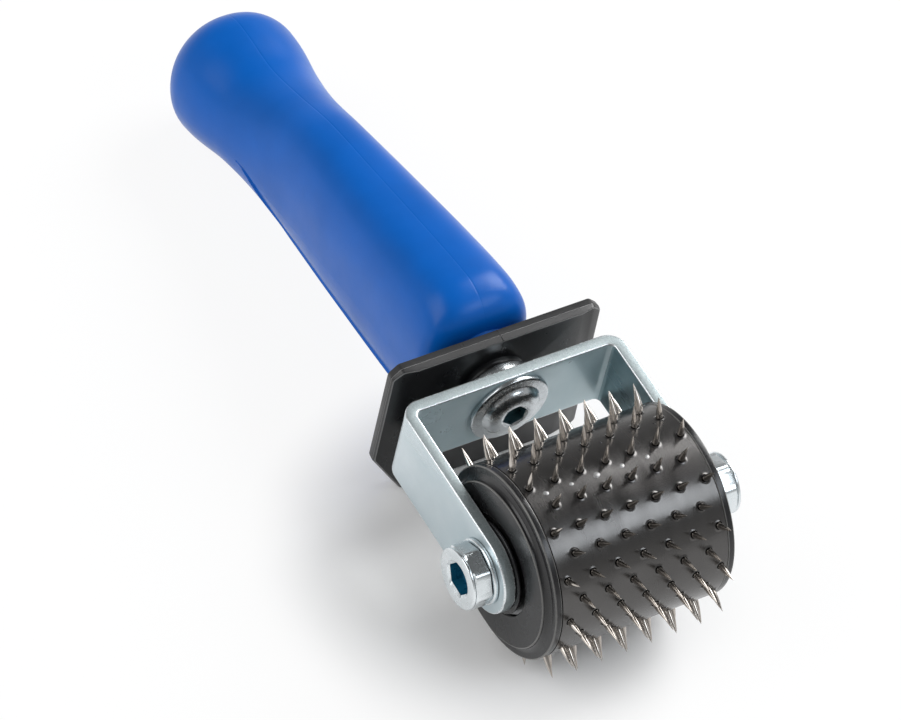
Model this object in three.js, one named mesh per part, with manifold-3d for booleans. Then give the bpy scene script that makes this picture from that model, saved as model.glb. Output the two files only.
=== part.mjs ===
import * as THREE from 'three';
import { mergeVertices } from 'three/addons/utils/BufferGeometryUtils.js';
import Module from 'manifold-3d';

const wasm = await Module();
wasm.setup();

// Sizes in millimetres. The tool's own axes start at the middle of the axle:
// X runs along the axle, Y towards the pommel, Z up across the width of the bar.

// Gaps kept between pieces
const seatGap = 0.15;
const fitGap = 0.3;
const runGap = 0.35;

// Yoke, one strip of flat bar bent twice
const barThickness = 3.2;
const barWidth = 22.3;
const yokeInsideWidth = 56.6;
const bendInsideRadius = 1.8;
const webClearance = 11;

// Needle roller
const shellRadius = 24.8;
const shellWall = 2.4;
const backingWall = 2.6;
const needleRows = 27;
const needleRowTurn = THREE.MathUtils.degToRad(13);
const rowsBeforeLowest = 14;
const rollerTurn = THREE.MathUtils.degToRad(4.2);
const needlesInLongRow = 7;
const needleEndMargin = 2;
const needleLength = 6;
const needleBaseRadius = 0.9;
const needleSink = 0.9;
const needleSides = 5;

// End caps
const capRimThickness = 1.85;
const capFaceRise = 1.75;
const capFaceInset = 3.4;
const capCove = 1.1;
const capRimChamfer = 0.35;
const capLipWidth = 1.1;
const capLipRadius = 11;

// Ball bearings
const bearingRadius = 13;
const bearingWidth = 8;
const bearingRecess = 0.85;
const ballCount = 7;
const ballRadius = 2.1;
const raceGap = 0.25;
const innerRingWall = 2.3;
const outerRingWall = 2.4;
const cageWidth = 1.2;
const cageWall = 1.2;

// Axle: two bolts, washers and spacers round a threaded sleeve
const threadRadius = 5;
const threadChamfer = 0.8;
const sleeveWall = 2.1;
const spacerThickness = 0.65;
const spacerRadius = 12.2;
const washerRadius = 8.5;
const washerThickness = 1;
const washerChamfer = 0.3;
const boltReach = 26;
const boltHeadSides = 8;
const boltHeadAcrossFlats = 15.5;
const boltHeadLength = 4.45;
const boltFaceRadius = 7.95;
const boltFaceThickness = 0.95;
const boltFaceChamfer = 0.45;
const boltSocketAcrossFlats = 8;
const boltSocketDepth = 3.6;
const boltTurn = THREE.MathUtils.degToRad(5.5);

// Flanged screw through the yoke
const screwFlangeRadius = 10.95;
const screwFlangeThickness = 1.3;
const screwDomeRadius = 7.9;
const screwDomeTopRadius = 4.1;
const screwHeadHeight = 3.7;
const screwSocketAcrossFlats = 6;
const screwSocketDepth = 3;
const screwStopShort = 4;

// Guard plate
const guardStandoff = 4.9;
const guardThickness = 3.9;
const guardHalfWidth = 29.9;
const guardTop = 15.6;
const guardBottom = 32.5;
const guardCornerChamfer = 2.4;
const guardCutAcross = 9.3;
const guardCutUp = 14.3;
const guardEdgeRound = 0.3;
const guardFieldHalfWidth = 23.5;
const guardSideFall = 1.15;
const guardBossRadius = 8.2;
const guardSpacerRadius = 9.7;
const guardSpacerLength = 2.85;
const guardSpacerRound = 0.5;

// Handle
const handleLength = 136.8;
const handleDroop = THREE.MathUtils.degToRad(10.9);
const gripHalfWidth = 15.4;
const gripHalfHeight = 22;
const shoulderUp = 11;
const shoulderAcross = 5;
const frontSquaring = 40;
const pommelRound = 14;
const pommelSquareness = 2.2;
const neckRadius = 12.4;
const neckLength = 3.05;
const insertRadius = 8;
const insertLength = 30;
const insertGroove = 0.7;
const insertGrooveWidth = 4;
const panelFrom = 12;
const panelTo = 98;
const panelHeight = 9;
const panelDrop = 11.3;
const panelDepth = 0.6;

// Along the handle: place as a share of its length, width and height as shares of the grip's, squareness
const handleStations = [
  { place: 0, width: 1, height: 0.982, squareness: 3.0 },
  { place: 0.132, width: 0.981, height: 1, squareness: 3.0 },
  { place: 0.397, width: 0.896, height: 0.955, squareness: 2.7 },
  { place: 0.559, width: 0.831, height: 0.918, squareness: 2.5 },
  { place: 0.676, width: 0.89, height: 0.795, squareness: 2.3 },
  { place: 0.779, width: 1.03, height: 0.727, squareness: 2.2 },
  { place: 0.875, width: 1.175, height: 0.818, squareness: 2.1 },
  { place: 1, width: 1.18, height: 0.875, squareness: 2.1 },
];

// Fineness of round shapes
const roundSteps = 32;
const hiddenSteps = 18;
const handleSteps = 32;
const handleSections = 24;
const sectionCrowding = 0.55;

// Places along the axle, measured outwards from the middle
const armInside = yokeInsideWidth / 2;
const armOutside = armInside + barThickness;
const spacerOuterFace = armInside - seatGap;
const spacerInnerFace = spacerOuterFace - spacerThickness;
const capFace = spacerInnerFace - runGap;
const capRim = capFace - capFaceRise;
const capInnerFace = capRim - capRimThickness;
const shellEnd = capInnerFace - seatGap;
const bearingOuterFace = capFace - bearingRecess;
const bearingInnerFace = bearingOuterFace - bearingWidth;
const bearingMiddle = (bearingOuterFace + bearingInnerFace) / 2;
const washerInnerFace = armOutside + seatGap;
const washerOuterFace = washerInnerFace + washerThickness;
const boltSeat = washerOuterFace + seatGap;
const boltFaceBack = boltSeat + boltHeadLength;
const boltFace = boltFaceBack + boltFaceThickness;

// Radii about the axle
const tipRadius = shellRadius + needleLength;
const restLevel = tipRadius * Math.cos(rollerTurn);
const backingRadius = shellRadius - shellWall - fitGap;
const backingBore = backingRadius - backingWall;
const spigotRadius = backingBore - fitGap;
const shaftBore = threadRadius + fitGap;
const innerRingRadius = shaftBore + innerRingWall;
const outerRingBore = bearingRadius - outerRingWall;
const ballPitchRadius = (innerRingRadius + outerRingBore) / 2;
const grooveRadius = ballRadius + raceGap;
const sleeveRadius = shaftBore + sleeveWall;

// Places from the axle towards the pommel
const webFront = tipRadius + webClearance;
const webRear = webFront + barThickness;
const screwSeat = webFront - seatGap;
const guardFront = webRear + guardStandoff;
const guardRear = guardFront + guardThickness;
const neckFront = guardRear + seatGap;
const handleFront = neckFront + neckLength;
const insertFront = neckFront + fitGap;
const spacerFront = webRear + seatGap;
const spacerRear = spacerFront + guardSpacerLength;

// Merges equal corners and drops the thin triangles that this leaves behind.
function welded(geometry) {
  const bare = geometry.clone();
  bare.deleteAttribute('normal');
  bare.deleteAttribute('uv');
  const merged = mergeVertices(bare, 1e-4);
  const old = merged.index.array;
  const kept = [];
  for (let i = 0; i < old.length; i += 3) {
    const [a, b, c] = [old[i], old[i + 1], old[i + 2]];
    if (a !== b && b !== c && c !== a) {
      kept.push(a, b, c);
    }
  }
  merged.setIndex(kept);
  return merged;
}

function signedVolume(geometry) {
  const place = geometry.attributes.position;
  const index = geometry.index.array;
  const corners = [new THREE.Vector3(), new THREE.Vector3(), new THREE.Vector3()];
  let sum = 0;
  for (let i = 0; i < index.length; i += 3) {
    corners.forEach((corner, k) => corner.fromBufferAttribute(place, index[i + k]));
    sum += corners[0].dot(corners[1].cross(corners[2]));
  }
  return sum / 6;
}

// Turns a closed surface so that its faces point outwards.
function closedBody(geometry) {
  const body = welded(geometry);
  if (signedVolume(body) < 0) {
    body.setIndex(Array.from(body.index.array).reverse());
  }
  return body;
}

function toSolid(geometry) {
  const body = closedBody(geometry);
  return new wasm.Manifold(new wasm.Mesh({
    numProp: 3,
    vertProperties: new Float32Array(body.attributes.position.array),
    triVerts: new Uint32Array(body.index.array),
  }));
}

function toGeometry(solid) {
  const mesh = solid.getMesh();
  const geometry = new THREE.BufferGeometry();
  geometry.setAttribute('position', new THREE.BufferAttribute(mesh.vertProperties, 3));
  geometry.setIndex(new THREE.BufferAttribute(mesh.triVerts, 1));
  return geometry;
}

// Turned shape about Y from [radius, height] pairs.
function turned(profile, steps) {
  const points = profile.map(([radius, height]) => new THREE.Vector2(radius, height));
  return new THREE.LatheGeometry(points, steps);
}

function turnedRing(profile, steps) {
  return turned([...profile, profile[0]], steps);
}

// Points of an arc round a centre, as [radius, height] pairs.
function arcPoints(centre, radius, from, to, count) {
  return Array.from({ length: count + 1 }, (_, i) => {
    const angle = from + (to - from) * i / count;
    return [centre[0] + radius * Math.cos(angle), centre[1] + radius * Math.sin(angle)];
  });
}

// Regular prism along Y between two heights.
function prism(acrossFlats, sides, from, to) {
  const radius = acrossFlats / 2 / Math.cos(Math.PI / sides);
  const geometry = new THREE.CylinderGeometry(radius, radius, to - from, sides, 1);
  return geometry.translate(0, (from + to) / 2, 0);
}

// Cylinder along Y between two heights.
function rod(radius, from, to, steps) {
  const geometry = new THREE.CylinderGeometry(radius, radius, to - from, steps, 1);
  return geometry.translate(0, (from + to) / 2, 0);
}

// Points the Y axis of a turned shape outwards along the axle.
function toSide(geometry, side) {
  return geometry.rotateZ(-side * Math.PI / 2);
}

function makeYoke() {
  const bendOutside = bendInsideRadius + barThickness;
  const armEnd = barWidth / 2;
  const bar = new THREE.Shape();
  bar.moveTo(-armOutside, -armEnd);
  bar.lineTo(-armOutside, webRear - bendOutside);
  bar.absarc(-armOutside + bendOutside, webRear - bendOutside, bendOutside, Math.PI, Math.PI / 2, true);
  bar.lineTo(armOutside - bendOutside, webRear);
  bar.absarc(armOutside - bendOutside, webRear - bendOutside, bendOutside, Math.PI / 2, 0, true);
  bar.lineTo(armOutside, -armEnd);
  bar.lineTo(armInside, -armEnd);
  bar.lineTo(armInside, webFront - bendInsideRadius);
  bar.absarc(
    armInside - bendInsideRadius, webFront - bendInsideRadius, bendInsideRadius, 0, Math.PI / 2, false);
  bar.lineTo(-armInside + bendInsideRadius, webFront);
  bar.absarc(
    -armInside + bendInsideRadius, webFront - bendInsideRadius, bendInsideRadius, Math.PI / 2, Math.PI, false);
  bar.closePath();
  const strip = new THREE.ExtrudeGeometry(bar, { depth: barWidth, bevelEnabled: false, curveSegments: 8 });
  strip.translate(0, 0, -barWidth / 2);

  const side = new THREE.Shape();
  side.moveTo(webRear + fitGap, -armEnd);
  side.lineTo(webRear + fitGap, armEnd);
  side.lineTo(0, armEnd);
  side.absarc(0, 0, armEnd, Math.PI / 2, Math.PI * 1.5, false);
  side.closePath();
  const depth = 2 * (armOutside + fitGap);
  const rounded = new THREE.ExtrudeGeometry(side, { depth, bevelEnabled: false, curveSegments: roundSteps / 2 });
  rounded.translate(0, 0, -depth / 2);
  rounded.applyMatrix4(new THREE.Matrix4().makeBasis(
    new THREE.Vector3(0, 1, 0), new THREE.Vector3(0, 0, 1), new THREE.Vector3(1, 0, 0)));

  const axleHoles = toSide(rod(shaftBore, -depth / 2, depth / 2, hiddenSteps), 1);
  const screwHole = rod(shaftBore, webFront - barThickness, webRear + barThickness, hiddenSteps);
  return toGeometry(
    toSolid(strip).intersect(toSolid(rounded)).subtract(toSolid(axleHoles)).subtract(toSolid(screwHole)));
}

function makeYokeScrew() {
  const top = screwSeat - screwHeadHeight;
  const flangeFront = screwSeat - screwFlangeThickness;
  const domeSteps = 6;
  const dome = Array.from({ length: domeSteps + 1 }, (_, i) => {
    const angle = i / domeSteps * Math.PI / 2;
    const radius = screwDomeTopRadius + (screwDomeRadius - screwDomeTopRadius) * Math.sin(angle);
    return [radius, flangeFront - (flangeFront - top) * Math.cos(angle)];
  });
  const end = insertFront + insertLength - screwStopShort;
  const body = turned([
    [0, top],
    ...dome,
    [screwFlangeRadius, flangeFront],
    [screwFlangeRadius, screwSeat],
    [threadRadius, screwSeat],
    [threadRadius, end - threadChamfer],
    [threadRadius - threadChamfer, end],
    [0, end],
  ], roundSteps);
  const socket = prism(screwSocketAcrossFlats, 6, top - fitGap, top + screwSocketDepth);
  return toGeometry(toSolid(body).subtract(toSolid(socket)));
}

function makeAxleBolt(side) {
  const end = boltSeat - boltReach;
  const head = prism(boltHeadAcrossFlats, boltHeadSides, boltSeat, boltFaceBack + fitGap);
  head.rotateY(side * boltTurn);
  const body = turned([
    [0, end],
    [threadRadius - threadChamfer, end],
    [threadRadius, end + threadChamfer],
    [threadRadius, boltFaceBack],
    [boltFaceRadius, boltFaceBack],
    [boltFaceRadius, boltFace - boltFaceChamfer],
    [boltFaceRadius - boltFaceChamfer, boltFace],
    [0, boltFace],
  ], roundSteps);
  const socket = prism(boltSocketAcrossFlats, 6, boltFace - boltSocketDepth, boltFace + fitGap);
  const bolt = toSolid(body).add(toSolid(head)).subtract(toSolid(socket));
  return toSide(toGeometry(bolt), side);
}

function makeWasher(side) {
  return toSide(turnedRing([
    [shaftBore, washerInnerFace],
    [washerRadius, washerInnerFace],
    [washerRadius, washerOuterFace - washerChamfer],
    [washerRadius - washerChamfer, washerOuterFace],
    [shaftBore, washerOuterFace],
  ], roundSteps), side);
}

function makeSpacer(side) {
  const hubEnd = bearingOuterFace + seatGap;
  return toSide(turnedRing([
    [shaftBore, hubEnd],
    [innerRingRadius, hubEnd],
    [innerRingRadius, spacerInnerFace],
    [spacerRadius, spacerInnerFace],
    [spacerRadius, spacerOuterFace],
    [shaftBore, spacerOuterFace],
  ], roundSteps), side);
}

function makeSleeve() {
  const end = bearingInnerFace - seatGap;
  return toSide(turnedRing([
    [shaftBore, -end],
    [sleeveRadius, -end],
    [sleeveRadius, end],
    [shaftBore, end],
  ], hiddenSteps), 1);
}

// Angle at which the ball groove of a ring meets the ring's plain face
function grooveSpread(ringRadius) {
  return Math.acos(Math.abs(ringRadius - ballPitchRadius) / grooveRadius);
}

function makeInnerRing(side) {
  const spread = grooveSpread(innerRingRadius);
  const centre = [ballPitchRadius, bearingMiddle];
  return toSide(turnedRing([
    [shaftBore, bearingInnerFace],
    [innerRingRadius, bearingInnerFace],
    ...arcPoints(centre, grooveRadius, Math.PI + spread, Math.PI - spread, 4),
    [innerRingRadius, bearingOuterFace],
    [shaftBore, bearingOuterFace],
  ], hiddenSteps), side);
}

function makeOuterRing(side) {
  const spread = grooveSpread(outerRingBore);
  const centre = [ballPitchRadius, bearingMiddle];
  return toSide(turnedRing([
    [bearingRadius, bearingInnerFace],
    [bearingRadius, bearingOuterFace],
    [outerRingBore, bearingOuterFace],
    ...arcPoints(centre, grooveRadius, spread, -spread, 4),
    [outerRingBore, bearingInnerFace],
  ], hiddenSteps), side);
}

function makeBallRow(side) {
  const pieces = [toSolid(turnedRing([
    [ballPitchRadius - cageWall / 2, bearingMiddle - cageWidth / 2],
    [ballPitchRadius + cageWall / 2, bearingMiddle - cageWidth / 2],
    [ballPitchRadius + cageWall / 2, bearingMiddle + cageWidth / 2],
    [ballPitchRadius - cageWall / 2, bearingMiddle + cageWidth / 2],
  ], hiddenSteps))];
  for (let i = 0; i < ballCount; i += 1) {
    const ball = new THREE.OctahedronGeometry(ballRadius, 1);
    ball.translate(ballPitchRadius, bearingMiddle, 0);
    ball.rotateY(i / ballCount * Math.PI * 2);
    pieces.push(toSolid(ball));
  }
  return toSide(toGeometry(wasm.Manifold.union(pieces)), side);
}

function makeEndCap(side) {
  const faceRadius = shellRadius - capFaceInset;
  const lipFace = bearingInnerFace - seatGap;
  const bore = bearingRadius + seatGap;
  return toSide(turnedRing([
    [capLipRadius, lipFace - capLipWidth],
    [spigotRadius, lipFace - capLipWidth],
    [spigotRadius, capInnerFace],
    [shellRadius, capInnerFace],
    [shellRadius, capRim - capRimChamfer],
    [shellRadius - capRimChamfer, capRim],
    ...arcPoints([faceRadius + capCove, capRim + capCove], capCove, -Math.PI / 2, -Math.PI, 2),
    [faceRadius, capFace - capRimChamfer],
    [faceRadius - capRimChamfer, capFace],
    [bore, capFace],
    [bore, lipFace],
    [capLipRadius, lipFace],
  ], roundSteps), side);
}

// Rows of needles alternate long and short round the drum, from the long row at the seam of the needle sheet
// to the long row that ends it; the seam is what the rows leave of the full turn.
function makeNeedleShell() {
  const bore = shellRadius - shellWall;
  const pieces = [toSolid(toSide(turnedRing([
    [bore, -shellEnd],
    [shellRadius, -shellEnd],
    [shellRadius, shellEnd],
    [bore, shellEnd],
  ], needleRows * 2), 1))];
  const pitch = 2 * (shellEnd - needleEndMargin) / (needlesInLongRow - 1);
  const height = needleLength + needleSink;
  for (let row = 0; row < needleRows; row += 1) {
    const count = needlesInLongRow - row % 2;
    const turn = rollerTurn - Math.PI / 2 + (row - rowsBeforeLowest) * needleRowTurn;
    for (let i = 0; i < count; i += 1) {
      const needle = new THREE.ConeGeometry(needleBaseRadius, height, needleSides, 1);
      needle.translate((i - (count - 1) / 2) * pitch, tipRadius - height / 2, 0);
      needle.rotateX(turn);
      pieces.push(toSolid(needle));
    }
  }
  return toGeometry(wasm.Manifold.union(pieces));
}

function makeBacking() {
  return toSide(turnedRing([
    [backingBore, -shellEnd],
    [backingRadius, -shellEnd],
    [backingRadius, shellEnd],
    [backingBore, shellEnd],
  ], roundSteps), 1);
}

// Guard outline in X and Z, drawn in from the edge by a given amount; the lower left corner is cut away
function guardOutline(inset) {
  const halfWidth = guardHalfWidth - inset;
  const top = guardTop - inset;
  const bottom = -guardBottom + inset;
  const shape = new THREE.Shape();
  shape.moveTo(-halfWidth + guardCutAcross, bottom);
  shape.lineTo(halfWidth - guardCornerChamfer, bottom);
  shape.lineTo(halfWidth, bottom + guardCornerChamfer);
  shape.lineTo(halfWidth, top - guardCornerChamfer);
  shape.lineTo(halfWidth - guardCornerChamfer, top);
  shape.lineTo(-halfWidth + guardCornerChamfer, top);
  shape.lineTo(-halfWidth, top - guardCornerChamfer);
  shape.lineTo(-halfWidth, bottom + guardCutUp);
  shape.closePath();
  return shape;
}

// Stands an extruded X-Z outline up so that it runs from a place on Y towards the axle.
function towardsAxle(geometry, start) {
  geometry.applyMatrix4(new THREE.Matrix4().makeBasis(
    new THREE.Vector3(1, 0, 0), new THREE.Vector3(0, 0, 1), new THREE.Vector3(0, -1, 0)));
  return geometry.translate(0, start, 0);
}

function makeGuard() {
  const plate = towardsAxle(new THREE.ExtrudeGeometry(guardOutline(guardEdgeRound), {
    depth: guardThickness - 2 * guardEdgeRound,
    bevelThickness: guardEdgeRound,
    bevelSize: guardEdgeRound,
    bevelSegments: 2,
  }), guardRear - guardEdgeRound);
  const boss = rod(guardBossRadius, spacerRear + seatGap, guardRear - guardThickness / 2, roundSteps);
  const hole = rod(shaftBore, webRear, guardRear + fitGap, hiddenSteps);
  let guard = toSolid(plate);
  for (const side of [-1, 1]) {
    guard = guard.subtract(toSolid(sideFall(side)));
  }
  return toGeometry(guard.add(toSolid(boss)).subtract(toSolid(hole)));
}

// Wedge that lets the guard's front fall back towards one side
function sideFall(side) {
  const slope = guardSideFall / (guardHalfWidth - guardFieldHalfWidth);
  const outside = guardHalfWidth + fitGap;
  const shape = new THREE.Shape();
  shape.moveTo(side * guardFieldHalfWidth, guardFront);
  shape.lineTo(side * outside, guardFront + slope * (outside - guardFieldHalfWidth));
  shape.lineTo(side * outside, guardFront - guardThickness);
  shape.lineTo(side * guardFieldHalfWidth, guardFront - guardThickness);
  shape.closePath();
  const depth = guardTop + guardBottom + 2 * fitGap;
  const wedge = new THREE.ExtrudeGeometry(shape, { depth, bevelEnabled: false });
  return wedge.translate(0, 0, -guardBottom - fitGap);
}

function makeGuardSpacer() {
  return turnedRing([
    [shaftBore, spacerFront],
    [guardSpacerRadius, spacerFront],
    [guardSpacerRadius, spacerRear - guardSpacerRound],
    [guardSpacerRadius - guardSpacerRound, spacerRear],
    [shaftBore, spacerRear],
  ], roundSteps);
}

// Smooth value between the handle's stations, for a share of its length
function handleValue(name, place) {
  const last = handleStations.length - 1;
  const next = handleStations.findIndex((station) => station.place >= place);
  const i = Math.max(1, next === -1 ? last : next);
  const pick = (k) => handleStations[THREE.MathUtils.clamp(k, 0, last)];
  const [a, b] = [pick(i - 1), pick(i)];
  const slope = (k) => (pick(k + 1)[name] - pick(k - 1)[name]) / (pick(k + 1).place - pick(k - 1).place);
  const span = b.place - a.place;
  const t = (place - a.place) / span;
  const start = (1 + 2 * t) * (1 - t) ** 2 * a[name] + t * (1 - t) ** 2 * span * slope(i - 1);
  const end = t * t * (3 - 2 * t) * b[name] + t * t * (t - 1) * span * slope(i);
  return start + end;
}

// Ring of points round the handle at a distance from its front, in the handle's own axes.
// Towards the front the rings lean back until they stand parallel to the guard.
function handleRing(at, inset) {
  const roundOff = (radius) => radius * (1 - Math.sqrt(1 - Math.max(0, 1 - at / radius) ** 2));
  const intoPommel = Math.max(0, 1 - (handleLength - at) / pommelRound);
  const closing = (1 - intoPommel ** pommelSquareness) ** (1 / pommelSquareness);
  const place = at / handleLength;
  const width = handleValue('width', place) * gripHalfWidth;
  const height = handleValue('height', place) * gripHalfHeight;
  const halfWidth = (width - inset - roundOff(shoulderAcross)) * closing;
  const halfHeight = (height - inset - roundOff(shoulderUp)) * closing;
  const power = 2 / handleValue('squareness', place);
  const lean = Math.tan(handleDroop) * Math.max(0, 1 - at / frontSquaring) ** 2;
  return Array.from({ length: handleSteps }, (_, i) => {
    const angle = i / handleSteps * Math.PI * 2;
    const across = Math.sign(Math.cos(angle)) * Math.abs(Math.cos(angle)) ** power * halfWidth;
    const up = Math.sign(Math.sin(angle)) * Math.abs(Math.sin(angle)) ** power * halfHeight;
    return [across, at - up * lean, up];
  });
}

// Sections closer together at the shoulder and at the pommel
function handlePlaces() {
  return Array.from({ length: handleSections + 1 }, (_, i) => {
    const t = i / handleSections;
    const eased = (1 - Math.cos(t * Math.PI)) / 2;
    return handleLength * (sectionCrowding * eased + (1 - sectionCrowding) * t);
  });
}

function handleBody(inset) {
  const positions = [];
  const index = [];
  const rings = handlePlaces().map((at) => handleRing(at, inset));
  rings.forEach((ring) => ring.forEach((point) => positions.push(...point)));
  for (let r = 0; r < rings.length - 1; r += 1) {
    for (let i = 0; i < handleSteps; i += 1) {
      const a = r * handleSteps + i;
      const b = r * handleSteps + (i + 1) % handleSteps;
      index.push(a, b, b + handleSteps, a, b + handleSteps, a + handleSteps);
    }
  }
  const front = positions.length / 3;
  positions.push(0, 0, 0);
  positions.push(0, handleLength, 0);
  const lastRing = (rings.length - 1) * handleSteps;
  for (let i = 0; i < handleSteps; i += 1) {
    const j = (i + 1) % handleSteps;
    index.push(front, j, i);
    index.push(front + 1, lastRing + i, lastRing + j);
  }
  const geometry = new THREE.BufferGeometry();
  geometry.setAttribute('position', new THREE.Float32BufferAttribute(positions, 3));
  geometry.setIndex(index);
  return geometry;
}

// Long round-ended column through one flank, in the handle's own axes
function flankColumn(side) {
  const end = panelHeight / 2;
  const shape = new THREE.Shape();
  shape.moveTo(panelFrom + end, -panelDrop - end);
  shape.lineTo(panelTo - end, -panelDrop - end);
  shape.absarc(panelTo - end, -panelDrop, end, -Math.PI / 2, Math.PI / 2, false);
  shape.lineTo(panelFrom + end, -panelDrop + end);
  shape.absarc(panelFrom + end, -panelDrop, end, Math.PI / 2, Math.PI * 1.5, false);
  shape.closePath();
  const depth = gripHalfWidth;
  const column = new THREE.ExtrudeGeometry(shape, { depth, bevelEnabled: false, curveSegments: 6 });
  column.applyMatrix4(new THREE.Matrix4().makeBasis(
    new THREE.Vector3(0, 1, 0), new THREE.Vector3(0, 0, 1), new THREE.Vector3(1, 0, 0)));
  return column.translate(side * depth - depth / 2, 0, 0);
}

function makeHandle() {
  const placed = (geometry) => geometry.rotateX(-handleDroop).translate(0, handleFront, 0);
  const neck = rod(neckRadius, neckFront, handleFront + shoulderUp, roundSteps);
  const bore = rod(insertRadius + fitGap, neckFront - fitGap, insertFront + insertLength + fitGap, hiddenSteps);
  const panelFloor = toSolid(placed(handleBody(panelDepth)));
  const pockets = [1, -1].map((side) => toSolid(placed(flankColumn(side))).subtract(panelFloor));
  return toGeometry(
    toSolid(placed(handleBody(0)))
      .subtract(pockets[0])
      .subtract(pockets[1])
      .add(toSolid(neck))
      .subtract(toSolid(bore)));
}

function makeInsert() {
  const end = insertFront + insertLength;
  const middle = (insertFront + end) / 2;
  return turnedRing([
    [shaftBore, insertFront],
    [insertRadius, insertFront],
    [insertRadius, middle - insertGrooveWidth / 2],
    [insertRadius - insertGroove, middle - insertGrooveWidth / 2],
    [insertRadius - insertGroove, middle + insertGrooveWidth / 2],
    [insertRadius, middle + insertGrooveWidth / 2],
    [insertRadius, end],
    [shaftBore, end],
  ], hiddenSteps);
}

// Colours and surfaces
const blue = { color: 0x0c58b4, roughness: 0.45, metalness: 0 };
const black = { color: 0x1b1c1e, roughness: 0.5, metalness: 0 };
const zinc = { color: 0xb9c4c9, roughness: 0.3, metalness: 1 };
const polished = { color: 0x8f9196, roughness: 0.2, metalness: 1 };
const gunmetal = { color: 0x4a4a4d, roughness: 0.35, metalness: 1 };
const bearingSteel = { color: 0xa9adb1, roughness: 0.2, metalness: 1 };
const brass = { color: 0xb08d48, roughness: 0.35, metalness: 1 };

const tool = new THREE.Group();

function addPiece(name, geometry, look) {
  const mesh = new THREE.Mesh(closedBody(geometry), new THREE.MeshStandardMaterial(look));
  mesh.name = name;
  tool.add(mesh);
  return mesh;
}

const handleGrip = addPiece('handle_grip', makeHandle(), blue);
addPiece('handle_insert', makeInsert(), brass);
addPiece('guard', makeGuard(), black);
addPiece('guard_spacer', makeGuardSpacer(), zinc);
addPiece('yoke', makeYoke(), zinc);
addPiece('yoke_screw', makeYokeScrew(), polished);
addPiece('axle_sleeve', makeSleeve(), bearingSteel);
addPiece('needle_shell', makeNeedleShell(), gunmetal);
addPiece('needle_backing', makeBacking(), gunmetal);
for (const [word, side] of [['left', -1], ['right', 1]]) {
  addPiece(`axle_bolt_${word}`, makeAxleBolt(side), zinc);
  addPiece(`axle_washer_${word}`, makeWasher(side), zinc);
  addPiece(`spacer_${word}`, makeSpacer(side), black);
  addPiece(`end_cap_${word}`, makeEndCap(side), black);
  addPiece(`bearing_inner_${word}`, makeInnerRing(side), bearingSteel);
  addPiece(`bearing_balls_${word}`, makeBallRow(side), bearingSteel);
  addPiece(`bearing_outer_${word}`, makeOuterRing(side), bearingSteel);
}

// Least turn about the axle that brings every point of the handle up to the level of the lowest needles
function restTilt() {
  const place = handleGrip.geometry.attributes.position;
  let tilt = -Math.PI / 2;
  for (let i = 0; i < place.count; i += 1) {
    const [y, z] = [place.getY(i), place.getZ(i)];
    const reach = Math.hypot(y, z);
    tilt = Math.max(tilt, Math.asin(-restLevel / reach) - Math.atan2(z, y));
  }
  return tilt;
}

// The roller's turn is counted from straight down, so it is turned back by the tilt of the rest.
const tilt = restTilt();
tool.rotation.x = tilt;
for (const mesh of tool.children) {
  if (mesh.name === 'needle_shell') {
    mesh.rotation.x = -tilt;
  }
}

const group = new THREE.Group();
group.add(tool);
group.updateMatrixWorld(true);
const box = new THREE.Box3().setFromObject(tool, true);
const middle = box.getCenter(new THREE.Vector3());
tool.position.set(-middle.x, -middle.y, -box.min.z);
group.updateMatrixWorld(true);

export default group;
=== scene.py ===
"""Looks of a hand-held needle roller: finer pieces, materials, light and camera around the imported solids."""

import math

import bmesh
import bpy
from mathutils import Matrix, Vector


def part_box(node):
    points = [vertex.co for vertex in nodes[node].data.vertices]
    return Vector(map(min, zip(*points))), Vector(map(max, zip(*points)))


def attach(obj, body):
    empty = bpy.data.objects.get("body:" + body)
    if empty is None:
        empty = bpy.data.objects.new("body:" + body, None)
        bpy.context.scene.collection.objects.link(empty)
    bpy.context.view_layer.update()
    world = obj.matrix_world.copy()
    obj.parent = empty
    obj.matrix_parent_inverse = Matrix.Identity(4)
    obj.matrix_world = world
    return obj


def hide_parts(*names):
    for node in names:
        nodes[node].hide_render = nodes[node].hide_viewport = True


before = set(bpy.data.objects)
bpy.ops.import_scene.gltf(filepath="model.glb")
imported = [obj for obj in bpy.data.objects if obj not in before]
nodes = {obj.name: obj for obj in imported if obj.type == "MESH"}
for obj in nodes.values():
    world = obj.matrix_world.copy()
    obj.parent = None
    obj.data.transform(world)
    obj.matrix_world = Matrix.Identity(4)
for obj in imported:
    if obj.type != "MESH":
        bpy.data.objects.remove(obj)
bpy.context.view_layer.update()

# Axes of the tool: X along the axle, Y from the axle towards the pommel, Z across the width of the bar.
# Sizes in these axes are in millimetres.


def middle_of(name):
    low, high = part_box(name)
    return (low + high) / 2


AXLE = middle_of("axle_sleeve")
TOWARDS_PALM = middle_of("handle_insert") - AXLE
TILT = math.atan2(TOWARDS_PALM.z, TOWARDS_PALM.y)
TOOL = Matrix.Translation(AXLE) @ Matrix.Rotation(TILT, 4, "X") @ Matrix.Scale(0.001, 4)

# Common to several pieces
CLEAR_BORE = 5.4
SHANK_RADIUS = 5.2
SEAT_GAP = 0.15
ROUND_STEPS = 96

# Yoke
BAR_THICKNESS = 3.2
BAR_WIDTH = 22.3
ARM_INSIDE = 28.3
ARM_OUTSIDE = ARM_INSIDE + BAR_THICKNESS
BEND_INSIDE = 1.8
BAR_EDGE = 0.42
WEB_FRONT = 41.8
WEB_REAR = WEB_FRONT + BAR_THICKNESS
FACE_COLUMNS = 10
EDGE_COLUMNS = 4
WEB_STEPS = 16
BEND_STEPS = 14
ARM_STEPS = 18
END_STEPS = 40

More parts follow.
